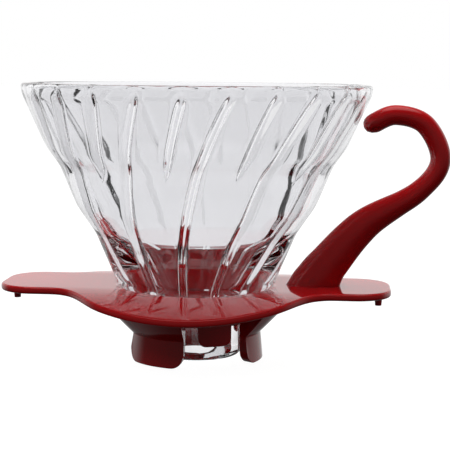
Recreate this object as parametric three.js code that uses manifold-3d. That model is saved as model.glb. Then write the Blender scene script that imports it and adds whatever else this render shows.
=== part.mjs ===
// A pour over coffee dripper: a pressed glass cone with spiral ribs, which lifts out of a
// moulded holder that has two wings, three legs, three claws and a hook handle.
// Millimetres, +Z up, the handle towards +X. The origin is under the middle of the whole
// part, on the surface that the legs stand on.

import * as THREE from 'three';
import { mergeVertices } from 'three/addons/utils/BufferGeometryUtils.js';
import Module from 'manifold-3d';

const wasm = await Module();
wasm.setup();

// Driving dimensions. Heights are above the legs' feet, radii are from the cone's axis.
const rimHeight = 92;
const rimRadius = 58.2;
const rimWall = 3.6;
const plateTop = 25;
const plateThickness = 2.4;
const clearance = 0.3;

// The holder's plate: a wing on each side of a lobe that droops to the front and the back.
const wingReach = 65.5;
const wingHalfWidth = 17;
const wingCorner = 12;
const lobeRadius = 44.5;
const lobeDroop = 5;
const flatHalfWidth = 14;

// The glass's foot narrows from seatRadius, level with the plate, to its neck, and hangs in a
// cone-shaped socket in the holder.
const seatRadius = 26.3;
const seatFoot = 13.6;
const seatGap = 0.5;

// The glass.
const neckRadius = 15.2;
const boreRadius = 10;
const neckFoot = 1.2;
const coneHalfAngle = THREE.MathUtils.degToRad(30);
const ribCount = 24;
const ribHeight = 2.2;
const columnsPerRib = 4;
const ribTurn = THREE.MathUtils.degToRad(21);
const ribTurnTop = 89;
const ribTurnFoot = 26;

// The legs and claws under the plate. Angles are from the front, turning towards the handle.
const legAngles = [-35, 85, 205];
const legWidthAngle = 62;
const clawAngles = [25, 145, 265];
const clawWidthAngle = 34;
const clawFoot = 6.8;
const socketFoot = 13;
const socketRadius = 19.4;
const pegReach = 61.5;

// The handle.
const handleRootX = 39.7;
const tenonLength = 10;
const tenonWidth = 4;

const glass = new THREE.MeshStandardMaterial({
  color: '#dfe3e4',
  roughness: 0.02,
  metalness: 0,
  transparent: true,
  opacity: 0.35,
});
const redPlastic = new THREE.MeshStandardMaterial({
  color: '#7d0f12',
  roughness: 0.15,
  metalness: 0,
});

// A closed geometry as a solid that can be joined and cut.
function solidOf(geometry) {
  const bare = geometry.clone();
  bare.deleteAttribute('normal');
  bare.deleteAttribute('uv');
  const merged = mergeVertices(bare, 1e-4);
  return new wasm.Manifold(new wasm.Mesh({
    numProp: 3,
    vertProperties: new Float32Array(merged.attributes.position.array),
    triVerts: new Uint32Array(merged.index.array),
  }));
}

function geometryOf(solid) {
  const mesh = solid.getMesh();
  const geometry = new THREE.BufferGeometry();
  geometry.setAttribute('position', new THREE.BufferAttribute(mesh.vertProperties, 3));
  geometry.setIndex(new THREE.BufferAttribute(mesh.triVerts, 1));
  geometry.computeVertexNormals();
  return geometry;
}

// A closed [radius, height] outline, anticlockwise, turned about the Z axis.
function turned(outline, segments) {
  const points = outline.map(([radius, height]) => new THREE.Vector2(radius, height));
  points.push(points[0].clone());
  return new THREE.LatheGeometry(points, segments).rotateX(Math.PI / 2);
}

// A number that runs straight from 0 at start to 1 at end and stays level outside them.
function ramp(value, start, end) {
  return THREE.MathUtils.clamp((value - start) / (end - start), 0, 1);
}

// How far a rib stands out of the inner wall. Every second rib ends high up in the cone.
function ribRise(height, isLong) {
  const start = ramp(height, 89.5, 84);
  const end = isLong ? ramp(height, 15, 24) : ramp(height, 63, 69);
  return height > 86 ? ribHeight * start : ribHeight * end;
}

function glassCone() {
  const outside = [
    [boreRadius + 0.8, neckFoot],
    [neckRadius - 1, neckFoot],
    [neckRadius, neckFoot + 1.2],
    [neckRadius, seatFoot],
    [seatRadius, plateTop + clearance],
    [29.2, 32],
    [31.7, 38],
    [34.6, 43.8],
    [40.1, 52],
    [43.2, 59],
    [45.8, 65.3],
    [49.6, 70.7],
    [53, 77.5],
    [55.9, 84],
    [rimRadius, 89],
    [rimRadius, rimHeight - 1],
    [rimRadius - 1, rimHeight],
    [rimRadius - rimWall + 1, rimHeight],
  ];
  const rimInside = rimRadius - rimWall;
  const innerRadius = (height) =>
    Math.max(boreRadius, rimInside - (rimHeight - 1 - height) * Math.tan(coneHalfAngle));
  const insideHeights = [rimHeight - 1, 89, 84, 76, 69, 63, 52, 42, 32, 24, 13.8, neckFoot + 0.8];
  const inside = insideHeights.map((height) => [innerRadius(height), height]);

  const geometry = turned([...outside, ...inside], ribCount * columnsPerRib);
  const pointsPerColumn = outside.length + inside.length + 1;
  const position = geometry.attributes.position;
  for (let index = 0; index < position.count; index += 1) {
    const column = Math.floor(index / pointsPerColumn) % (ribCount * columnsPerRib);
    const point = index % pointsPerColumn;
    const height = position.getZ(index);
    const onInside = point >= outside.length && point < pointsPerColumn - 1;
    const onCrest = column % columnsPerRib === 0;
    const isLong = column % (2 * columnsPerRib) === columnsPerRib;
    const rise = onInside && onCrest ? ribRise(height, isLong) : 0;
    const radius = Math.hypot(position.getX(index), position.getY(index)) - rise;
    const turn = -ribTurn * ramp(height, ribTurnTop, ribTurnFoot);
    const angle = (column * 2 * Math.PI) / (ribCount * columnsPerRib) + turn;
    position.setXY(index, radius * Math.sin(angle), -radius * Math.cos(angle));
  }
  geometry.computeVertexNormals();
  return geometry;
}

// The plate's outline from above, with an S curve where each wing runs into the lobe.
function plateOutline() {
  const joint = Math.atan2(35, 27.5);
  const jointX = lobeRadius * Math.cos(joint);
  const jointY = lobeRadius * Math.sin(joint);
  const straightEnd = 47;
  const shape = new THREE.Shape();
  shape.moveTo(-straightEnd, -wingHalfWidth);
  shape.bezierCurveTo(-38, -wingHalfWidth, -jointX - 7.8, -jointY + 6.2, -jointX, -jointY);
  shape.absarc(0, 0, lobeRadius, Math.PI + joint, 2 * Math.PI - joint, false);
  shape.bezierCurveTo(jointX + 7.8, -jointY + 6.2, 38, -wingHalfWidth, straightEnd, -wingHalfWidth);
  const cornerX = wingReach - wingCorner;
  const cornerY = wingHalfWidth - wingCorner;
  shape.absarc(cornerX, -cornerY, wingCorner, -Math.PI / 2, 0, false);
  shape.absarc(cornerX, cornerY, wingCorner, 0, Math.PI / 2, false);
  shape.lineTo(straightEnd, wingHalfWidth);
  shape.bezierCurveTo(38, wingHalfWidth, jointX + 7.8, jointY - 6.2, jointX, jointY);
  shape.absarc(0, 0, lobeRadius, joint, Math.PI - joint, false);
  shape.bezierCurveTo(-jointX - 7.8, jointY - 6.2, -38, wingHalfWidth, -straightEnd, wingHalfWidth);
  shape.absarc(-cornerX, cornerY, wingCorner, Math.PI / 2, Math.PI, false);
  shape.absarc(-cornerX, -cornerY, wingCorner, Math.PI, 1.5 * Math.PI, false);
  shape.closePath();
  return shape;
}

// The plate's section, seen along X: level in the middle, then an arc down on both sides.
function plateSection() {
  const run = lobeRadius + 1 - flatHalfWidth;
  const droopRadius = (run * run + lobeDroop * lobeDroop) / (2 * lobeDroop);
  const steps = 6;
  const drop = [];
  for (let step = 0; step <= steps; step += 1) {
    const across = (run * step) / steps;
    const fall = droopRadius - Math.sqrt(droopRadius * droopRadius - across * across);
    drop.push([flatHalfWidth + across, plateTop - fall]);
  }
  const top = [...drop].reverse().concat(drop.map(([across, height]) => [-across, height]));
  const bottom = [...top].reverse().map(([across, height]) => [across, height - plateThickness]);
  return new THREE.Shape([...top, ...bottom].map(([across, height]) => new THREE.Vector2(across, height)));
}

function plateSolid() {
  const length = 2 * wingReach + 2;
  const sheet = new THREE.ExtrudeGeometry(plateSection(), { depth: length, bevelEnabled: false });
  // The section's own x and y become the part's Y and Z, and its depth becomes X.
  sheet.applyMatrix4(new THREE.Matrix4().set(0, 0, 1, -length / 2, 1, 0, 0, 0, 0, 1, 0, 0, 0, 0, 0, 1));
  const prism = new THREE.ExtrudeGeometry(plateOutline(), {
    depth: 2 * plateTop,
    bevelEnabled: false,
    curveSegments: 10,
  });
  return solidOf(sheet).intersect(solidOf(prism));
}

// A vertical wedge with its edge on the cone's axis, as wide as the given angle.
function wedge(middleDegrees, widthDegrees) {
  const reach = 60;
  const shape = new THREE.Shape();
  shape.moveTo(0, 0);
  for (const side of [-0.5, 0, 0.5]) {
    const angle = THREE.MathUtils.degToRad(middleDegrees + side * widthDegrees - 90);
    shape.lineTo(reach * Math.cos(angle), reach * Math.sin(angle));
  }
  shape.closePath();
  return solidOf(new THREE.ExtrudeGeometry(shape, { depth: rimHeight, bevelEnabled: false }));
}

// A leg widens into a flare, whose top is sunk into the plate all the way out.
function legs() {
  const flareRadius = 33;
  const ring = solidOf(turned([
    [19.4, 0],
    [22.8, 0],
    [22, 9.1],
    [24.6, 11.7],
    [flareRadius, 20.4],
    [flareRadius, plateTop - plateThickness + 0.1],
    [19.4, plateTop - 1],
  ], 72));
  return legAngles.map((angle) => ring.intersect(wedge(angle, legWidthAngle)));
}

function claws() {
  const innerRadius = neckRadius + seatGap;
  const ring = solidOf(turned([
    [innerRadius, clawFoot + 1],
    [innerRadius + 1, clawFoot],
    [socketRadius + 0.6, clawFoot],
    [socketRadius + 0.6, socketFoot + 1],
    [innerRadius, socketFoot + 1],
  ], 72));
  return clawAngles.map((angle) => ring.intersect(wedge(angle, clawWidthAngle)));
}

// The socket's wall, solid to the middle: the space for the glass is cut out of it afterwards.
function socketBlock() {
  const reach = 28.6;
  const foot = plateTop - plateThickness;
  return solidOf(turned([
    [0, socketFoot],
    [socketRadius, socketFoot],
    [reach, foot],
    [reach, foot + 0.8],
    [0, foot + 0.8],
  ], 72));
}

// The space that the glass's neck and foot hang in, carried on upwards past the plate's top.
function glassSpace() {
  const slope = (seatRadius - neckRadius) / (plateTop + clearance - seatFoot);
  const over = 2;
  return solidOf(turned([
    [0, -1],
    [neckRadius + seatGap, -1],
    [neckRadius + seatGap, seatFoot],
    [seatRadius + seatGap + slope * over, plateTop + clearance + over],
    [0, plateTop + clearance + over],
  ], 72));
}

function pegs() {
  const length = 4.6;
  const top = plateTop - plateThickness + 0.6;
  return [-pegReach, pegReach].map((reach) => {
    const peg = new THREE.CylinderGeometry(1.5, 1.1, length, 12).rotateX(Math.PI / 2);
    return solidOf(peg.translate(reach, 0, top - length / 2));
  });
}

function tenonBlock(margin, top) {
  const block = new THREE.BoxGeometry(tenonLength + 2 * margin, tenonWidth + 2 * margin, top);
  return solidOf(block.translate(handleRootX, 0, top / 2));
}

function holderBase() {
  let holder = plateSolid();
  for (const piece of [socketBlock(), ...legs(), ...claws(), ...pegs()]) {
    holder = holder.add(piece);
  }
  const pocket = tenonBlock(clearance, plateTop + 1);
  return geometryOf(holder.subtract(glassSpace()).subtract(pocket));
}

// A round bar that follows a curve in the XZ plane. Its width is measured across the curve
// in that plane, and its depth along Y.
function bentBar(curve, widthAt, depthAt, sides, steps) {
  const bar = new THREE.CylinderGeometry(1, 1, 1, sides, steps);
  const position = bar.attributes.position;
  for (let index = 0; index < position.count; index += 1) {
    const along = position.getY(index) + 0.5;
    const centre = curve.getPointAt(along);
    const tangent = curve.getTangentAt(along);
    const across = (position.getX(index) * widthAt(along)) / 2;
    const sideways = (position.getZ(index) * depthAt(along)) / 2;
    position.setXYZ(
      index,
      centre.x - tangent.z * across,
      sideways,
      centre.z + tangent.x * across,
    );
  }
  return bar;
}

function handle() {
  const foot = plateTop + clearance;
  const curve = new THREE.CatmullRomCurve3([
    [36, 17],
    [handleRootX + 1.1, 26.8],
    [45, 33],
    [56.6, 46],
    [73.9, 57.2],
    [80.8, 67.5],
    [75.7, 79.1],
    [66, 82.3],
    [58.6, 79.3],
    [56.2, 77.6],
  ].map(([x, z]) => new THREE.Vector3(x, 0, z)));
  const widthAt = (along) => {
    const arm = THREE.MathUtils.lerp(16.5, 6.5, ramp(along, 0.12, 0.5) ** 0.8);
    return arm * (1 - 0.55 * ramp(along, 0.965, 1) ** 2);
  };
  const depthAt = (along) => {
    const arm = THREE.MathUtils.lerp(8, 6.5, ramp(along, 0.12, 0.5));
    return arm * (1 - 0.55 * ramp(along, 0.965, 1) ** 2);
  };
  const bar = solidOf(bentBar(curve, widthAt, depthAt, 14, 34));
  const below = new THREE.BoxGeometry(60, 30, foot).translate(handleRootX, 0, foot / 2);
  const underside = new THREE.BoxGeometry(60, 30, plateTop - plateThickness);
  underside.translate(handleRootX, 0, (plateTop - plateThickness) / 2);
  const tenon = tenonBlock(0, foot + 1).subtract(solidOf(underside));
  return geometryOf(bar.subtract(solidOf(below)).add(tenon));
}

function piece(name, geometry, material) {
  const mesh = new THREE.Mesh(geometry, material);
  mesh.name = name;
  return mesh;
}

const dripper = new THREE.Group();
dripper.add(piece('glass_cone', glassCone(), glass));
dripper.add(piece('holder_base', holderBase(), redPlastic));
dripper.add(piece('handle', handle(), redPlastic));

// The cone's axis stands off the middle, because the handle reaches further than the wings.
const extent = new THREE.Box3().setFromObject(dripper);
dripper.position.x = -(extent.min.x + extent.max.x) / 2;

export default dripper;
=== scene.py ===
# A pour over coffee dripper: a pressed glass cone in a glossy red plastic holder with a hook handle.

import math

import bmesh
import bpy
import numpy as np
from mathutils import Matrix, Vector


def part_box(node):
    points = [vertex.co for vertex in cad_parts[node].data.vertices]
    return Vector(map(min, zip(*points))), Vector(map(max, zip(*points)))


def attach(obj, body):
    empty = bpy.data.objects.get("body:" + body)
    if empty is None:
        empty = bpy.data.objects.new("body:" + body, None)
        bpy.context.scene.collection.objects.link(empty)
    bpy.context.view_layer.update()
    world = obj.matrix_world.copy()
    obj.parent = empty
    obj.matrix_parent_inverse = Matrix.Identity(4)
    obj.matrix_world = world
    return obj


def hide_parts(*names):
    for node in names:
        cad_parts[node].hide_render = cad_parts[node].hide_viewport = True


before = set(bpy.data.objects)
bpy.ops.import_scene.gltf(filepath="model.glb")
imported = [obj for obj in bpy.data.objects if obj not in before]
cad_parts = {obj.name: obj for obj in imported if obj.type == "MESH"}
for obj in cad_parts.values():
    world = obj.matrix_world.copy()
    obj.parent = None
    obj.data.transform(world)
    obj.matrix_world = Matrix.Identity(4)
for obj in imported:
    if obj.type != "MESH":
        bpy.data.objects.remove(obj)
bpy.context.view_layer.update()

MM = 0.001

# Places taken from the frame.
GLASS_LOW, GLASS_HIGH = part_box("glass_cone")
HOLDER_LOW, HOLDER_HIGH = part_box("holder_base")
AXIS_X = (GLASS_LOW[0] + GLASS_HIGH[0]) / 2
AXIS = Vector((AXIS_X, 0, 0))
RIM_RADIUS = (GLASS_HIGH[0] - GLASS_LOW[0]) / 2
RIM_Z = GLASS_HIGH[2]
NECK_FOOT_Z = GLASS_LOW[2]
PLATE_Z = HOLDER_HIGH[2]
WING_REACH = (HOLDER_HIGH[0] - HOLDER_LOW[0]) / 2
LOBE_RADIUS = (HOLDER_HIGH[1] - HOLDER_LOW[1]) / 2

# The glass. A name in _Z is a height above the table, and a depth is measured down from the rim. The
# foot is a cone from the neck up to SEAT_Z, a hair above the plate, and keeps a gap to its socket.
RIM_WALL = 3.6 * MM
RIM_ROUNDING = 1.3 * MM
RIM_DEPTH = 3 * MM
ARCH_DEPTH = 5 * MM
FUNNEL_DEPTH = 78 * MM
BORE_DEPTH = 80 * MM
BORE_RADIUS = 10 * MM
BORE_CHAMFER = 1 * MM
NECK_RADIUS = 15.2 * MM
NECK_ROUNDING = 1.4 * MM
SEAT_RADIUS = 26.3 * MM
SEAT_FOOT_Z = 13.6 * MM
SEAT_GAP = 0.5 * MM
SEAT_Z = PLATE_Z + 0.3 * MM

# How many points the wall's section has on each stretch. They are closest where the ribs' tops arch.
ROUND_STEPS = 5
NECK_POINTS = 5
SEAT_POINTS = 8
OUTER_POINTS = 56
ARCH_POINTS = 16
INNER_POINTS = 88
BORE_POINTS = 5

# The corners of the wall's tiers, and how far from a corner its rounding starts, in millimetres.
OUTER_DEPTHS = (3, 21, 26.8, 40.3, 49.5, 66.4)
OUTER_RADII = (58.2, 50.0, 45.7, 40.1, 33.8, 26.6)
OUTER_ROUNDING = 1.6
INNER_DEPTHS = (3, 21, 26.8, 40.3, 49.5, 66.4, 76)
INNER_RADII = (54.6, 46.0, 41.6, 35.9, 29.8, 17.5, 10)
INNER_ROUNDING = 2.0
ROUNDING_SAMPLES = 9

# The ribs inside the glass: every second one is short. Each has its columns of points close together
# on it, and the rest of its share of the wall's columns beside it.
RIB_COUNT = 24
COLUMNS_PER_RIB = 20
RIB_COLUMNS = 7
RIB_TOP = 1.4 * MM
RIB_ARCH = 4.6 * MM
RIB_RISE = 1.95 * MM
LONG_FOOT = 76 * MM
LONG_FADE = 10 * MM
SHORT_FOOT = 29 * MM
SHORT_FADE = 6 * MM

# Along a rib: depths with half widths, both in millimetres.
LONG_DEPTHS = (1.4, 1.8, 2.6, 4, 8, 24, 45, 66)
LONG_HALF_WIDTHS = (0.3, 1.1, 1.7, 2.1, 2.25, 2.2, 2.05, 1.4)
SHORT_DEPTHS = (1.4, 1.8, 2.6, 4, 8, 20, 26, 29)
SHORT_HALF_WIDTHS = (0.3, 1.1, 1.7, 2.1, 2.25, 2.1, 1.3, 0.3)

# Depths in millimetres between which the columns go back to even spacing, below each kind of rib.
LONG_SPREAD = (66, 78)
SHORT_SPREAD = (29, 38)

# The spiral: depths in millimetres with degrees turned, and how far the short ribs hang back.
TURN_DEPTHS = (2.5, 26.8, 50, 66)
TURN_DEGREES = (-1.6, 9.2, 16.9, 21.2)
LAG_DEPTHS = (2.5, 27, 45)
LAG_SHARES = (0, 1, 0)
LAG_DEGREES = 2.9

# The holder's plate. From above, the lobe's arc meets a wing's side in the direction of MEETING, and
# the curve between them leaves the lobe by MEETING_LEAN, outwards and back towards the wing.
PLATE_THICKNESS = 2.4 * MM
PLATE_ROUNDING = 0.9 * MM
WING_HALF_WIDTH = 17 * MM
WING_CORNER = 12 * MM
WING_STRAIGHT = 47 * MM
WING_BEND = 38 * MM
MEETING = math.degrees(math.atan2(35, 27.5))
MEETING_LEAN = (7.8 * MM, 6.2 * MM)
FLAT_HALF_WIDTH = 14 * MM
LOBE_DROOP = 5 * MM
DROOP_SPACING = 1.5 * MM

# The legs, claws and pegs. Angles and widths round the axis are in degrees, from the front, and the
# leg's section is radii with heights in millimetres. A tongue's lower corners are rounded by CORNER,
# which fades out at FADE up its sides.
LEG_ANGLES = (-35, 85, 205)
LEG_WIDTH = 62
LEG_STEPS = 36
LEG_SPACING = 1.5 * MM
LEG_SECTION = ((19.4, 0), (22.8, 0), (22.0, 9.1), (24.6, 11.7), (33, 20.4), (33, 22.7), (19.4, 24))
LEG_CORNER = 4.5 * MM
LEG_FADE = 9 * MM
LEG_ROUNDING = 0.5 * MM
CLAW_ANGLES = (25, 145, 265)
CLAW_WIDTH = 34
CLAW_STEPS = 24
CLAW_SPACING = 1.2 * MM
CLAW_GAP = 0.5 * MM
CLAW_RADIUS = 20 * MM
CLAW_FOOT_Z = 6.8 * MM
CLAW_TOP_Z = 14 * MM
CLAW_CORNER = 2.8 * MM
CLAW_FADE = 6 * MM
CLAW_ROUNDING = 0.4 * MM
PEG_REACH = 61.5 * MM
PEG_LENGTH = 4.6 * MM
PEG_DROP = 4.1 * MM
PEG_TIP_RADIUS = 1.1 * MM
PEG_ROOT_RADIUS = 1.5 * MM

# The socket under the plate, a cone outside and in. Its upper edge is rounded over from EDGE_START
# below the seat to EDGE_REACH outside it.
SOCKET_FOOT_Z = 13 * MM
SOCKET_FOOT_RADIUS = 19.4 * MM
SOCKET_FOOT_CHAMFER = 0.4 * MM
SOCKET_TOP_RADIUS = 28.6 * MM
SOCKET_OVERLAP = 0.8 * MM
SOCKET_STEPS = 128
EDGE_START = 0.9 * MM
EDGE_MIDDLE = 0.2 * MM
EDGE_REACH = 1.2 * MM

# The handle: stops on its middle line from the root to the tip, as millimetres to the right and up,
# then how wide it is in its own plane and from front to back, at shares of its length. Its rounding
# at the tip is cut a little short, and its root stands a hair above the plate's top.
HANDLE_STOPS = ((37.5, 20), (40.8, 26.5), (45, 33), (56.6, 46), (73.9, 57.2), (80.8, 67.5), (75.7, 79.1),
                (66, 82.3), (58.9, 79.6), (56.0, 77.4))
WIDTH_SHARES = (0, 0.06, 0.14, 0.3, 0.46, 0.56, 1)
WIDTHS = (17.2, 16.4, 13.6, 11.2, 7.8, 6.8, 6.6)
THICKNESS_SHARES = (0, 0.1, 0.5, 1)
THICKNESSES = (8.5, 8, 6.6, 6.4)
TIP_START = 0.962
TIP_LENGTH = 0.0395
HANDLE_STEPS = 110
HANDLE_SIDES = 40
ROOT_LIFT = 0.02 * MM

WHITE = "#ffffff"
MERGE = 1e-6


# ---------------------------------------------------------------- working by hand in edit mode

def new_piece(add, name, **settings):
    """Adds a primitive with nothing else selected, and names it."""
    bpy.ops.object.select_all(action="DESELECT")
    add(**settings)
    piece = bpy.context.active_object
    piece.name = name
    piece.data.name = name
    return piece


def select_only(piece):
    bpy.ops.object.select_all(action="DESELECT")
    bpy.context.view_layer.objects.active = piece
    piece.select_set(True)


def edit(piece):
    """Opens one piece in edit mode, until done()."""
    select_only(piece)
    bpy.ops.object.mode_set(mode="EDIT")


def done():
    bpy.ops.object.mode_set(mode="OBJECT")


def pick_edges(piece, test):
    """In edit mode, selects the edges that pass the test."""
    bpy.ops.mesh.select_mode(type="EDGE")
    bpy.ops.mesh.select_all(action="DESELECT")
    mesh = bmesh.from_edit_mesh(piece.data)
    for edge in mesh.edges:
        if test(edge):
            edge.select = True
    mesh.select_flush(True)
    bmesh.update_edit_mesh(piece.data)


def draw_chain(name, points, closed=False):
    """A chain of edges through the points, drawn by extruding one vertex."""
    points = [Vector(point) for point in points]
    piece = new_piece(bpy.ops.mesh.primitive_plane_add, name, size=MM)
    edit(piece)
    bpy.ops.mesh.select_mode(type="VERT")
    bpy.ops.mesh.select_all(action="SELECT")
    bpy.ops.mesh.merge(type="CENTER")
    bpy.ops.transform.translate(value=points[0])
    for start, end in zip(points, points[1:]):
        bpy.ops.mesh.extrude_vertices_move(TRANSFORM_OT_translate={"value": end - start})
    if closed:
        bpy.ops.mesh.extrude_vertices_move(TRANSFORM_OT_translate={"value": points[0] - points[-1]})
        bpy.ops.mesh.select_all(action="SELECT")
        bpy.ops.mesh.remove_doubles(threshold=MERGE)
    done()
    return piece


def clean_up(piece):
    """Merges doubles and turns every face outwards."""
    edit(piece)
    bpy.ops.mesh.select_all(action="SELECT")
    bpy.ops.mesh.remove_doubles(threshold=2 * MERGE)
    bpy.ops.mesh.normals_make_consistent(inside=False)
    done()


def move_vertices(piece, mover):
    """Puts each vertex where the mover says, given all of them as an array."""
    count = len(piece.data.vertices)
    places = np.empty(count * 3)
    piece.data.vertices.foreach_get("co", places)
    moved = mover(places.reshape(count, 3))
    piece.data.vertices.foreach_set("co", np.ascontiguousarray(moved).ravel())
    piece.data.update()


def add_modifier(piece, kind, **settings):
    """Adds a modifier and applies it."""
    select_only(piece)
    modifier = piece.modifiers.new(kind.title(), kind)
    for key, value in settings.items():
        setattr(modifier, key, value)
    bpy.ops.object.modifier_apply(modifier=modifier.name)


def join_solid(piece, other, operation="UNION"):
    """Joins or cuts with another closed piece, which is used up."""
    add_modifier(piece, "BOOLEAN", operation=operation, object=other, solver="EXACT")
    bpy.data.objects.remove(other, do_unlink=True)


def smooth(piece, degrees):
    """Shades smooth across the edges that turn by less than this."""
    select_only(piece)
    bpy.ops.object.shade_smooth_by_angle(angle=math.radians(degrees))


def round_edges(piece, width):
    """Rounds over every edge that turns by more than 50 degrees."""
    add_modifier(piece, "BEVEL", width=width, segments=3, limit_method="ANGLE", angle_limit=math.radians(50))


def flatten_faces(piece):
    """Lets the large faces set the normals, so that level faces shade level up to their rounded edges."""
    add_modifier(piece, "WEIGHTED_NORMAL", weight=50, keep_sharp=True)


def arc(centre, radius, start, end, steps):
    """Points on an arc, as pairs, with the angles in degrees from the first direction to the second."""
    angles = [math.radians(start + (end - start) * step / steps) for step in range(steps + 1)]
    return [(centre[0] + radius * math.cos(a), centre[1] + radius * math.sin(a)) for a in angles]


# ---------------------------------------------------------------- materials

def colour(hexadecimal):
    """An sRGB hex colour as linear RGBA."""
    parts = [int(hexadecimal[i:i + 2], 16) / 255 for i in (1, 3, 5)]
    linear = [c / 12.92 if c <= 0.04045 else ((c + 0.055) / 1.055) ** 2.4 for c in parts]
    return (*linear, 1)


def node(tree, kind, inputs=None, links=None, **settings):
    """Adds a node, with its settings, its input values and the links into it."""
    made = tree.nodes.new(kind)
    for key, value in settings.items():
        setattr(made, key, value)
    for key, value in (inputs or {}).items():
        made.inputs[key].default_value = value
    for key, (source, output) in (links or {}).items():
        tree.links.new(source.outputs[output], made.inputs[key])
    return made


def new_material(name):
    material = bpy.data.materials.new(name)
    material.use_nodes = True
    tree = material.node_tree
    return material, tree, tree.nodes["Principled BSDF"]


def pressed_glass():
    """Borosilicate glass pressed in a mould and fire polished: water clear and perfectly smooth,
    with a faint waviness of about 8 mm left by the mould."""
    material, tree, shader = new_material("pressed borosilicate glass")
    shader.inputs["Base Color"].default_value = colour("#ececee")
    shader.inputs["Roughness"].default_value = 0.0
    shader.inputs["IOR"].default_value = 1.474
    shader.inputs["Transmission Weight"].default_value = 1.0
    place = node(tree, "ShaderNodeTexCoord")
    waviness = node(tree, "ShaderNodeTexNoise", {"Scale": 1 / (8 * MM), "Detail": 1.0},
                    {"Vector": (place, "Object")})
    bump = node(tree, "ShaderNodeBump", {"Strength": 0.03, "Distance": 0.15 * MM},
                {"Height": (waviness, "Fac")})
    tree.links.new(bump.outputs["Normal"], shader.inputs["Normal"])
    return material


def moulded_plastic(name, base, deep):
    """Polypropylene moulded in a polished tool: a mirror gloss over a deep red, with a slow swirl
    of colour from the melt, a skin that ripples every 9 mm or so, and a gloss dulled a little in
    patches of about 6 mm by handling."""
    material, tree, shader = new_material(name)
    shader.inputs["IOR"].default_value = 1.49
    place = node(tree, "ShaderNodeTexCoord")
    swirl = node(tree, "ShaderNodeTexNoise", {"Scale": 1 / (22 * MM), "Detail": 2.0},
                 {"Vector": (place, "Object")})
    tint = node(tree, "ShaderNodeMix", {"A": colour(deep), "B": colour(base)},
                {"Factor": (swirl, "Fac")}, data_type="RGBA")
    tree.links.new(tint.outputs["Result"], shader.inputs["Base Color"])
    ripple = node(tree, "ShaderNodeTexNoise", {"Scale": 1 / (9 * MM), "Detail": 0.0},
                  {"Vector": (place, "Object")})
    bump = node(tree, "ShaderNodeBump", {"Strength": 0.03, "Distance": 0.1 * MM},
                {"Height": (ripple, "Fac")})
    tree.links.new(bump.outputs["Normal"], shader.inputs["Normal"])
    wear = node(tree, "ShaderNodeTexNoise", {"Scale": 1 / (6 * MM), "Detail": 2.0},
                {"Vector": (place, "Object")})
    gloss = node(tree, "ShaderNodeMapRange",
                 {"From Min": 0.3, "From Max": 0.8, "To Min": 0.012, "To Max": 0.04},
                 {"Value": (wear, "Fac")})
    tree.links.new(gloss.outputs["Result"], shader.inputs["Roughness"])
    return material


# ---------------------------------------------------------------- the glass cone

def rounded_profile(depth, corners, radii, rounding):
    """A radius that runs straight between the corners, and is rounded at each."""
    depths = np.asarray(depth) / MM
    offsets = np.linspace(-rounding, rounding, ROUNDING_SAMPLES)
    return sum(np.interp(depths + offset, corners, radii) for offset in offsets) / len(offsets) * MM


def outer_radius(depth):
    """The outer wall: three tiers, each an even slope with a steeper step at its foot."""
    return rounded_profile(depth, OUTER_DEPTHS, OUTER_RADII, OUTER_ROUNDING)


def inner_radius(depth):
    """The inner wall between the ribs: tiers like the outer wall's, then a thick foot with a
    steep funnel down to the bore."""
    return rounded_profile(depth, INNER_DEPTHS, INNER_RADII, INNER_ROUNDING)


def glass_outline():
    """The wall's section, from the neck's foot up the outside, over the rim and down the inside."""
    points = [(BORE_RADIUS + BORE_CHAMFER, NECK_FOOT_Z)]
    neck_corner = (NECK_RADIUS - NECK_ROUNDING, NECK_FOOT_Z + NECK_ROUNDING)
    points += arc(neck_corner, NECK_ROUNDING, -90, 0, ROUND_STEPS)
    neck_low, neck_high = NECK_FOOT_Z + 3 * MM, SEAT_FOOT_Z - 0.8 * MM
    points += [(NECK_RADIUS, z) for z in np.linspace(neck_low, neck_high, NECK_POINTS)]
    for share in np.linspace(0.05, 0.95, SEAT_POINTS):
        points.append((NECK_RADIUS + share * (SEAT_RADIUS - NECK_RADIUS),
                       SEAT_FOOT_Z + share * (SEAT_Z - SEAT_FOOT_Z)))
    wall_foot = RIM_Z - SEAT_Z - 0.5 * MM
    points += [(float(outer_radius(depth)), RIM_Z - depth)
               for depth in np.linspace(wall_foot, RIM_DEPTH, OUTER_POINTS)]
    round_z = RIM_Z - RIM_ROUNDING
    points += arc((RIM_RADIUS - RIM_ROUNDING, round_z), RIM_ROUNDING, 0, 90, ROUND_STEPS)
    points += arc((RIM_RADIUS - RIM_WALL + RIM_ROUNDING, round_z), RIM_ROUNDING, 90, 180, ROUND_STEPS)
    depths = list(np.linspace(RIB_TOP, ARCH_DEPTH, ARCH_POINTS))
    depths += list(np.linspace(ARCH_DEPTH + 0.6 * MM, FUNNEL_DEPTH, INNER_POINTS))
    points += [(float(inner_radius(depth)), RIM_Z - depth) for depth in depths]
    bore_low = NECK_FOOT_Z + 1.2 * BORE_CHAMFER
    points += [(BORE_RADIUS, z) for z in np.linspace(RIM_Z - BORE_DEPTH, bore_low, BORE_POINTS)]
    return [(AXIS_X + radius, 0, z) for radius, z in points]


def rib_half_width(depth, is_long):
    """Half a rib's width: a round arch at the top, and for a short rib a point at the foot."""
    long = np.interp(depth / MM, LONG_DEPTHS, LONG_HALF_WIDTHS)
    short = np.interp(depth / MM, SHORT_DEPTHS, SHORT_HALF_WIDTHS)
    return np.where(is_long, long, short) * MM


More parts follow.
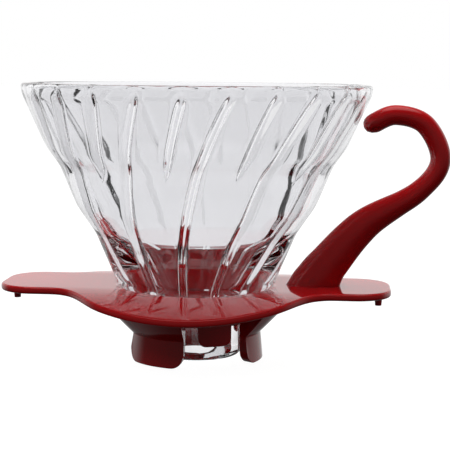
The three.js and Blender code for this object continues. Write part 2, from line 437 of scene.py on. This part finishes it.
def rib_rise(depth, across, is_long):
    """How far the glass stands in from the inner wall at a share of a rib's half width."""
    top = np.clip((depth - RIB_TOP) / RIB_ARCH, 0, 1)
    arch = top * top * (3 - 2 * top)
    foot_long = np.clip((LONG_FOOT - depth) / LONG_FADE, 0, 1)
    foot_short = np.clip((SHORT_FOOT - depth) / SHORT_FADE, 0, 1)
    foot = np.where(is_long, foot_long, foot_short)
    return RIB_RISE * np.minimum(arch, foot) * (0.5 + 0.5 * np.cos(math.pi * across))


def rib_turn(depth):
    """How far the long ribs have turned from the front at a depth, leaning most in the top tier."""
    return np.radians(np.interp(depth / MM, TURN_DEPTHS, TURN_DEGREES))


def shape_ribs(places):
    """Gathers the inner wall's columns round each rib, turns them with it, and raises the ribs."""
    x, y, z = places[:, 0] - AXIS_X, places[:, 1], places[:, 2]
    radius = np.hypot(x, y)
    angle = np.arctan2(x, -y)
    depth = RIM_Z - z
    pitch = 2 * math.pi / RIB_COUNT
    rib = np.round(angle / pitch)
    part = angle / pitch - rib
    column = np.abs(np.round(part * COLUMNS_PER_RIB)).astype(int)
    is_long = np.mod(rib, 2) == 1
    even = RIB_COLUMNS / COLUMNS_PER_RIB * pitch * radius
    long_share = np.interp(depth / MM, LONG_SPREAD, (1, 0))
    short_share = np.interp(depth / MM, SHORT_SPREAD, (1, 0))
    half = even + (rib_half_width(depth, is_long) - even) * np.where(is_long, long_share, short_share)
    between = (column - RIB_COLUMNS) / (COLUMNS_PER_RIB / 2 - RIB_COLUMNS)
    across = np.minimum(column, RIB_COLUMNS) / RIB_COLUMNS
    on_rib = across * half / radius
    off_rib = half / radius + between * (pitch / 2 - half / radius)
    aside = np.sign(part) * np.where(column <= RIB_COLUMNS, on_rib, off_rib)
    near_short = 0.5 + 0.5 * np.cos(math.pi * (rib + aside / pitch))
    lag = math.radians(LAG_DEGREES) * np.interp(depth / MM, LAG_DEPTHS, LAG_SHARES) * near_short
    turned = rib * pitch + aside - rib_turn(depth) + lag
    return turned, radius - rib_rise(depth, across, is_long)


def shape_wall(places):
    """Shapes the ribs in the inner wall. The outer wall stays round, and turns as they do, so that
    the faces between the two don't twist."""
    x, y, z = places[:, 0] - AXIS_X, places[:, 1], places[:, 2]
    radius = np.hypot(x, y)
    depth = RIM_Z - z
    inside = (radius < inner_radius(depth) + 0.2 * MM) & (depth > RIB_TOP - 0.01 * MM)
    turned, ribbed = shape_ribs(places)
    angle = np.where(inside, turned, np.arctan2(x, -y) - rib_turn(depth))
    radius = np.where(inside, ribbed, radius)
    return np.stack([AXIS_X + radius * np.sin(angle), -radius * np.cos(angle), z], axis=1)


def make_glass():
    """A pair of ribs' share of the wall is spun from its section, and then copied round the axis."""
    glass = draw_chain("glass_cone_pressed", glass_outline(), closed=True)
    edit(glass)
    pairs = RIB_COUNT // 2
    bpy.ops.mesh.select_all(action="SELECT")
    bpy.ops.mesh.spin(steps=2 * COLUMNS_PER_RIB, angle=2 * math.pi / pairs, center=AXIS, axis=(0, 0, 1))
    bpy.ops.mesh.select_all(action="SELECT")
    bpy.ops.mesh.spin(steps=pairs - 1, angle=2 * math.pi * (pairs - 1) / pairs, dupli=True, center=AXIS,
                      axis=(0, 0, 1))
    done()
    clean_up(glass)
    move_vertices(glass, shape_wall)
    clean_up(glass)
    smooth(glass, 60)
    glass.data.materials.append(pressed_glass())
    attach(glass, "glass")
    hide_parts("glass_cone")


# ---------------------------------------------------------------- the holder

def droop(across):
    """How far the plate's top lies below its level middle at a distance to the front or back."""
    run = LOBE_RADIUS + MM - FLAT_HALF_WIDTH
    radius = (run ** 2 + LOBE_DROOP ** 2) / (2 * LOBE_DROOP)
    beyond = np.clip(np.abs(across) - FLAT_HALF_WIDTH, 0, run)
    return radius - np.sqrt(radius ** 2 - beyond ** 2)


def bezier(start, out, into, end, steps):
    """The points between the start and the end of a curve, without either."""
    points = []
    for step in range(1, steps):
        t = step / steps
        weights = ((1 - t) ** 3, 3 * t * (1 - t) ** 2, 3 * t * t * (1 - t), t ** 3)
        points.append(tuple(sum(w * p[k] for w, p in zip(weights, (start, out, into, end))) for k in (0, 1)))
    return points


def plate_outline():
    """The plate from above, anticlockwise from the front of the right wing."""
    meet_x = LOBE_RADIUS * math.cos(math.radians(MEETING))
    meet_y = LOBE_RADIUS * math.sin(math.radians(MEETING))
    lean_x, lean_y = MEETING_LEAN
    corner_x, corner_y = WING_REACH - WING_CORNER, WING_HALF_WIDTH - WING_CORNER
    quarter = [(WING_STRAIGHT, WING_HALF_WIDTH)]
    quarter += bezier((WING_STRAIGHT, WING_HALF_WIDTH), (WING_BEND, WING_HALF_WIDTH),
                      (meet_x + lean_x, meet_y - lean_y), (meet_x, meet_y), 14)
    right = arc((corner_x, -corner_y), WING_CORNER, -90, 0, 10)
    right += arc((corner_x, corner_y), WING_CORNER, 0, 90, 10)
    back = arc((0, 0), LOBE_RADIUS, MEETING, 180 - MEETING, 26)
    flip_x = [(-x, y) for x, y in reversed(quarter)]
    left = [(-x, -y) for x, y in right]
    front = [(-x, -y) for x, y in back]
    outline = right + quarter + back + flip_x + left
    outline += [(-x, -y) for x, y in quarter] + front + [(x, -y) for x, y in reversed(quarter)]
    return outline


def make_plate():
    """The plate is made level and cut across, so that it can be bent down to the front and the back."""
    level = PLATE_Z - PLATE_THICKNESS
    outline = [(AXIS_X + x, y, level) for x, y in plate_outline()]
    plate = draw_chain("holder_base_moulding", outline, closed=True)
    edit(plate)
    bpy.ops.mesh.select_all(action="SELECT")
    bpy.ops.mesh.edge_face_add()
    bpy.ops.mesh.extrude_region_move(TRANSFORM_OT_translate={"value": (0, 0, PLATE_THICKNESS)})
    bpy.ops.mesh.select_all(action="SELECT")
    bpy.ops.mesh.normals_make_consistent(inside=False)
    pick_edges(plate, lambda edge: abs(edge.verts[0].co.z - edge.verts[1].co.z) < MERGE)
    bpy.ops.mesh.bevel(offset=PLATE_ROUNDING, segments=5, profile=0.5, affect="EDGES")
    for side in (-1, 1):
        for across in np.arange(FLAT_HALF_WIDTH, LOBE_RADIUS, DROOP_SPACING):
            bpy.ops.mesh.select_all(action="SELECT")
            bpy.ops.mesh.bisect(plane_co=(0, side * across, 0), plane_no=(0, 1, 0))
    done()

    def sag(places):
        places[:, 2] -= droop(places[:, 1])
        return places

    move_vertices(plate, sag)
    return plate


def arc_solid(name, section, middle, width, steps):
    """A section given as [radius, z], spun about the axis through a width, and turned so that the
    width's middle is at an angle from the front."""
    piece = draw_chain(name, [(AXIS_X + r, 0, z) for r, z in section], closed=True)
    edit(piece)
    bpy.ops.mesh.select_all(action="SELECT")
    bpy.ops.mesh.edge_face_add()
    bpy.ops.mesh.spin(steps=steps, angle=math.radians(width), center=AXIS, axis=(0, 0, 1))
    bpy.ops.mesh.select_all(action="SELECT")
    bpy.ops.mesh.remove_doubles(threshold=MERGE)
    bpy.ops.mesh.normals_make_consistent(inside=False)
    done()

    def place(places):
        x, y = places[:, 0] - AXIS_X, places[:, 1]
        radius, angle = np.hypot(x, y), np.arctan2(y, x)
        angle = np.abs(angle) - math.radians(width) / 2 + math.radians(middle)
        return np.stack([AXIS_X + radius * np.sin(angle), -radius * np.cos(angle), places[:, 2]], axis=1)

    move_vertices(piece, place)
    clean_up(piece)
    return piece


def round_foot(piece, middle, width, foot_z, corner, fade):
    """Rounds the two lower corners of an arc-shaped tongue, as seen face on."""

    def lift(places):
        x, y, z = places[:, 0] - AXIS_X, places[:, 1], places[:, 2]
        angle = np.arctan2(x, -y) - math.radians(middle)
        angle = np.arctan2(np.sin(angle), np.cos(angle))
        from_end = (math.radians(width) / 2 - np.abs(angle)) * np.hypot(x, y)
        inset = np.clip(corner - from_end, 0, corner)
        raise_by = corner - np.sqrt(corner ** 2 - inset ** 2)
        share = np.clip(1 - (z - foot_z) / fade, 0, 1)
        places[:, 2] = z + raise_by * share
        return places

    move_vertices(piece, lift)


def finer(section, spacing):
    """The closed section with points added along its sides, about this far apart."""
    points = []
    for (r0, z0), (r1, z1) in zip(section, section[1:] + section[:1]):
        count = max(1, round(math.hypot(r1 - r0, z1 - z0) / spacing))
        points += [(r0 + (r1 - r0) * k / count, z0 + (z1 - z0) * k / count) for k in range(count)]
    return points


def make_leg(middle):
    """A curved tongue whose root flares out under the plate."""
    section = finer([(radius * MM, z * MM) for radius, z in LEG_SECTION], LEG_SPACING)
    leg = arc_solid("leg", section, middle, LEG_WIDTH, LEG_STEPS)
    round_foot(leg, middle, LEG_WIDTH, 0, LEG_CORNER, LEG_FADE)
    round_edges(leg, LEG_ROUNDING)
    return leg


def make_claw(middle):
    """A short curved tongue that hangs close to the glass neck."""
    inner = NECK_RADIUS + CLAW_GAP
    section = finer([(inner, CLAW_FOOT_Z), (CLAW_RADIUS, CLAW_FOOT_Z), (CLAW_RADIUS, CLAW_TOP_Z),
                     (inner, CLAW_TOP_Z)], CLAW_SPACING)
    claw = arc_solid("claw", section, middle, CLAW_WIDTH, CLAW_STEPS)
    round_foot(claw, middle, CLAW_WIDTH, CLAW_FOOT_Z, CLAW_CORNER, CLAW_FADE)
    round_edges(claw, CLAW_ROUNDING)
    return claw


def turned_solid(name, section):
    """A section given as [radius, z] from the axis and back to it, spun all the way round."""
    piece = draw_chain(name, [(AXIS_X + radius, 0, z) for radius, z in section])
    edit(piece)
    bpy.ops.mesh.select_all(action="SELECT")
    bpy.ops.mesh.spin(steps=SOCKET_STEPS, angle=2 * math.pi, center=AXIS, axis=(0, 0, 1))
    done()
    clean_up(piece)
    return piece


def make_socket():
    """The socket's wall, solid to the middle: the space for the glass is cut out of it afterwards."""
    top = PLATE_Z - PLATE_THICKNESS
    return turned_solid("socket", [
        (0, SOCKET_FOOT_Z), (SOCKET_FOOT_RADIUS - SOCKET_FOOT_CHAMFER, SOCKET_FOOT_Z),
        (SOCKET_FOOT_RADIUS, SOCKET_FOOT_Z + SOCKET_FOOT_CHAMFER), (SOCKET_TOP_RADIUS, top),
        (SOCKET_TOP_RADIUS, top + SOCKET_OVERLAP), (0, top + SOCKET_OVERLAP)])


def make_glass_space():
    """The space that the glass's neck and foot hang in, with its upper edge rounded over."""
    slope = (SEAT_RADIUS - NECK_RADIUS) / (SEAT_Z - SEAT_FOOT_Z)
    narrow, wide = NECK_RADIUS + SEAT_GAP, SEAT_RADIUS + SEAT_GAP
    below, above = -MM, PLATE_Z + 3 * MM
    return turned_solid("glass_space", [
        (0, below), (narrow, below), (narrow, SEAT_FOOT_Z), (wide - EDGE_START * slope, SEAT_Z - EDGE_START),
        (wide + EDGE_MIDDLE, PLATE_Z - EDGE_MIDDLE), (wide + EDGE_REACH, SEAT_Z),
        (wide + EDGE_REACH, above), (0, above)])


def make_peg(side):
    """The small tapered peg under a wing's tip, with its root inside the plate."""
    return new_piece(bpy.ops.mesh.primitive_cone_add, "peg", vertices=32, radius1=PEG_TIP_RADIUS,
                     radius2=PEG_ROOT_RADIUS, depth=PEG_LENGTH,
                     location=(AXIS_X + side * PEG_REACH, 0, PLATE_Z - PEG_DROP))


def make_holder(plastic):
    """Everything but the handle is one moulding, and the glass's space is cut out of it last."""
    holder = make_plate()
    for middle in LEG_ANGLES:
        join_solid(holder, make_leg(middle))
    join_solid(holder, make_socket())
    for middle in CLAW_ANGLES:
        join_solid(holder, make_claw(middle))
    for side in (-1, 1):
        join_solid(holder, make_peg(side))
    join_solid(holder, make_glass_space(), "DIFFERENCE")
    smooth(holder, 35)
    flatten_faces(holder)
    holder.data.materials.clear()
    holder.data.materials.append(plastic)
    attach(holder, "holder")
    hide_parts("holder_base")


# ---------------------------------------------------------------- the handle

def curve_points(stops, steps, samples=40):
    """Points and tangents along a smooth curve through the stops, evenly spaced."""
    stops = np.array(stops, float)
    padded = np.vstack([2 * stops[0] - stops[1], stops, 2 * stops[-1] - stops[-2]])
    fine = []
    for k in range(1, len(padded) - 2):
        p0, p1, p2, p3 = padded[k - 1:k + 3]
        for t in np.linspace(0, 1, samples, endpoint=False):
            fine.append(0.5 * (2 * p1 + (p2 - p0) * t + (2 * p0 - 5 * p1 + 4 * p2 - p3) * t * t
                               + (3 * p1 - p0 - 3 * p2 + p3) * t ** 3))
    fine.append(padded[-2])
    fine = np.array(fine)
    length = np.concatenate([[0], np.cumsum(np.linalg.norm(np.diff(fine, axis=0), axis=1))])
    places = np.linspace(0, length[-1], steps + 1)
    centres = np.stack([np.interp(places, length, fine[:, k]) for k in (0, 1)], axis=1)
    tangents = np.gradient(centres, axis=0)
    return centres, tangents / np.linalg.norm(tangents, axis=1)[:, None]


def make_handle(plastic):
    """A cylinder is cut across, bent along the hook's middle line, and cut off level at the plate."""
    centres, tangents = curve_points([(x * MM, z * MM) for x, z in HANDLE_STOPS], HANDLE_STEPS)
    handle = new_piece(bpy.ops.mesh.primitive_cylinder_add, "handle_moulding", vertices=HANDLE_SIDES,
                       radius=1, depth=1, end_fill_type="TRIFAN")
    edit(handle)
    for cut in range(1, HANDLE_STEPS):
        bpy.ops.mesh.select_all(action="SELECT")
        bpy.ops.mesh.bisect(plane_co=(0, 0, cut / HANDLE_STEPS - 0.5), plane_no=(0, 0, 1))
    done()

    def bend(places):
        along = places[:, 2] + 0.5
        index = np.clip(np.round(along * HANDLE_STEPS).astype(int), 0, HANDLE_STEPS)
        share = index / HANDLE_STEPS
        width = np.interp(share, WIDTH_SHARES, WIDTHS) * MM
        thickness = np.interp(share, THICKNESS_SHARES, THICKNESSES) * MM
        tip = np.sqrt(np.clip(1 - (np.clip(share - TIP_START, 0, 1) / TIP_LENGTH) ** 2, 0, 1))
        across = places[:, 0] * width / 2 * tip
        sideways = places[:, 1] * thickness / 2 * tip
        centre, tangent = centres[index], tangents[index]
        return np.stack([AXIS_X + centre[:, 0] + tangent[:, 1] * across, -sideways,
                         centre[:, 1] - tangent[:, 0] * across], axis=1)

    move_vertices(handle, bend)
    clean_up(handle)
    edit(handle)
    bpy.ops.mesh.select_all(action="SELECT")
    bpy.ops.mesh.bisect(plane_co=(0, 0, PLATE_Z + ROOT_LIFT), plane_no=(0, 0, 1), clear_inner=True,
                        use_fill=True)
    bpy.ops.mesh.select_all(action="SELECT")
    bpy.ops.mesh.normals_make_consistent(inside=False)
    done()
    smooth(handle, 40)
    handle.data.materials.append(plastic)
    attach(handle, "holder")
    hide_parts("handle")


# ---------------------------------------------------------------- camera, stage and lights

def make_camera():
    """A little above the rim and to the right of the front, looking slightly down."""
    turn = math.radians(4.75)
    pitch = math.radians(6.86)
    roll = math.radians(0.5)
    across = 9.65 * MM
    distance = 435 * MM
    above_rim = 5 * MM
    data = bpy.data.cameras.new("camera")
    data.sensor_width = 36
    data.lens = 104
    camera = bpy.data.objects.new("camera", data)
    bpy.context.collection.objects.link(camera)
    camera.location = (
        AXIS_X + across * math.cos(turn) + distance * math.sin(turn),
        across * math.sin(turn) - distance * math.cos(turn),
        RIM_Z + above_rim,
    )
    tilt = Matrix.Rotation(math.pi / 2 - pitch, 4, "X") @ Matrix.Rotation(roll, 4, "Z")
    camera.rotation_euler = (Matrix.Rotation(turn, 4, "Z") @ tilt).to_euler()
    bpy.context.scene.camera = camera


def make_stage():
    """A floor out to past what any view sees, a hair below the legs' feet. The plastic isn't lit by it
    and doesn't mirror it."""
    floor = new_piece(bpy.ops.mesh.primitive_plane_add, "floor", size=12, location=(0, 0, -0.4 * MM))
    # Opal acrylic lit from below, as a light table is: an even white glow, and hardly any shadow.
    material, _, shader = new_material("opal acrylic table")
    shader.inputs["Base Color"].default_value = colour("#505050")
    shader.inputs["Roughness"].default_value = 0.9
    shader.inputs["Emission Color"].default_value = colour(WHITE)
    shader.inputs["Emission Strength"].default_value = 0.97
    floor.data.materials.append(material)
    floor.visible_diffuse = False
    floor.visible_glossy = False


def add_softbox(name, place, aim, width, height, power):
    """A white area light that gives light but isn't seen in the plastic or through the glass."""
    data = bpy.data.lights.new(name, "AREA")
    data.shape = "RECTANGLE"
    data.size, data.size_y = width, height
    data.energy = power
    light = bpy.data.objects.new(name, data)
    bpy.context.collection.objects.link(light)
    light.location = place
    light.rotation_euler = (Vector(aim) - Vector(place)).to_track_quat("-Z", "Y").to_euler()
    light.visible_glossy = False
    light.visible_transmission = False


def make_tent():
    """A white light tent round the stage, as the world. How bright it is depends on the direction,
    where X is to the right, Y to the back and Z up, and on what kind of ray looks at it."""
    world = bpy.data.worlds.new("tent")
    bpy.context.scene.world = world
    world.use_nodes = True
    tree = world.node_tree
    tent = tree.nodes["Background"]
    tent.inputs["Color"].default_value = colour(WHITE)
    place = node(tree, "ShaderNodeTexCoord")
    parts = node(tree, "ShaderNodeSeparateXYZ", None, {"Vector": (place, "Generated")})

    # Looked at straight through the glass: dimmer at the open front and overhead.
    opening = node(tree, "ShaderNodeMapRange",
                   {"From Min": -0.5, "From Max": 0.4, "To Min": 0.32, "To Max": 1.0},
                   {"Value": (parts, "Y")}, interpolation_type="SMOOTHSTEP")
    overhead = node(tree, "ShaderNodeMapRange",
                    {"From Min": 0.42, "From Max": 0.8, "To Min": 1.0, "To Max": 0.1},
                    {"Value": (parts, "Z")}, interpolation_type="SMOOTHSTEP")
    window = node(tree, "ShaderNodeMath", None, {0: (opening, "Result"), 1: (overhead, "Result")},
                  operation="MULTIPLY")

    # Lighting the plastic: brightest behind, and dimmer in front, from below and from overhead.
    lean = node(tree, "ShaderNodeMath", {1: 0.6}, {0: (parts, "Z")}, operation="MULTIPLY")
    towards_back = node(tree, "ShaderNodeMath", None, {0: (parts, "Y"), 1: (lean, "Value")},
                        operation="ADD")
    behind = node(tree, "ShaderNodeMapRange",
                  {"From Min": -0.5, "From Max": 0.1, "To Min": 0.2, "To Max": 1.0},
                  {"Value": (towards_back, "Value")}, interpolation_type="SMOOTHSTEP")
    below = node(tree, "ShaderNodeMapRange",
                 {"From Min": -0.5, "From Max": 0.0, "To Min": 0.15, "To Max": 1.0},
                 {"Value": (parts, "Z")}, interpolation_type="SMOOTHSTEP")
    above = node(tree, "ShaderNodeMapRange",
                 {"From Min": 0.35, "From Max": 0.9, "To Min": 1.0, "To Max": 0.45},
                 {"Value": (parts, "Z")}, interpolation_type="SMOOTHSTEP")
    shade = node(tree, "ShaderNodeMath", None, {0: (below, "Result"), 1: (above, "Result")},
                 operation="MULTIPLY")
    lit = node(tree, "ShaderNodeMath", None, {0: (behind, "Result"), 1: (shade, "Value")},
               operation="MULTIPLY")

    # Mirrored in the gloss: a bright backdrop, a dim front and ceiling, and a skylight right overhead.
    backdrop = node(tree, "ShaderNodeMapRange",
                    {"From Min": 0.0, "From Max": 0.6, "To Min": 0.12, "To Max": 1.0},
                    {"Value": (parts, "Y")}, interpolation_type="SMOOTHSTEP")
    ceiling = node(tree, "ShaderNodeMapRange",
                   {"From Min": 0.3, "From Max": 0.8, "To Min": 1.0, "To Max": 0.22},
                   {"Value": (parts, "Z")}, interpolation_type="SMOOTHSTEP")
    room = node(tree, "ShaderNodeMath", None, {0: (backdrop, "Result"), 1: (ceiling, "Result")},
                operation="MULTIPLY")
    shaded = node(tree, "ShaderNodeMath", None, {0: (room, "Value"), 1: (below, "Result")},
                  operation="MULTIPLY")
    skylight = node(tree, "ShaderNodeMapRange",
                    {"From Min": 0.84, "From Max": 0.96, "To Min": 0.0, "To Max": 1.5},
                    {"Value": (parts, "Z")}, interpolation_type="SMOOTHSTEP")
    mirrored = node(tree, "ShaderNodeMath", None, {0: (shaded, "Value"), 1: (skylight, "Result")},
                    operation="ADD")

    # Lighting the plastic through the glass: a sky that brightens upwards.
    sky = node(tree, "ShaderNodeMapRange",
               {"From Min": -0.2, "From Max": 0.8, "To Min": 0.3, "To Max": 3.0},
               {"Value": (parts, "Z")}, interpolation_type="SMOOTHSTEP")

    # Which of the four a ray meets. One straight from the camera meets plain white.
    path = node(tree, "ShaderNodeLightPath")
    outside = node(tree, "ShaderNodeMix", None, {"Factor": (path, "Is Glossy Ray"), "A": (lit, "Value"),
                                                 "B": (mirrored, "Value")})
    scattered = node(tree, "ShaderNodeMath", {1: 1.0}, {0: (path, "Diffuse Depth")}, operation="MINIMUM")
    inside = node(tree, "ShaderNodeMix", None, {"Factor": (scattered, "Value"), "A": (window, "Value"),
                                                "B": (sky, "Result")})
    met = node(tree, "ShaderNodeMix", None, {"Factor": (path, "Is Transmission Ray"),
                                             "A": (outside, "Result"), "B": (inside, "Result")})
    level = node(tree, "ShaderNodeMath", None, {0: (met, "Result"), 1: (path, "Is Camera Ray")},
                 operation="MAXIMUM")
    tree.links.new(level.outputs["Value"], tent.inputs["Strength"])


def make_lights():
    """A top light, a weaker one from the front and the left, and the tent, with enough bounces for
    light to cross the glass's walls and ribs."""
    add_softbox("top softbox", place=(0, 0.15, 0.8), aim=(0, 0, 0.03), width=0.9, height=0.6, power=11)
    add_softbox("front softbox", place=(-0.3, -0.55, 0.7), aim=(0, -0.02, 0.03), width=0.5, height=0.5,
                power=3)
    make_tent()
    bpy.context.scene.view_settings.view_transform = "Standard"
    bounces = bpy.context.scene.cycles
    bounces.max_bounces, bounces.transmission_bounces, bounces.glossy_bounces = 20, 20, 6


make_camera()
make_stage()
make_lights()
red = moulded_plastic("moulded red polypropylene", "#9b0c10", "#840a0d")
make_holder(red)
make_handle(red)
make_glass()
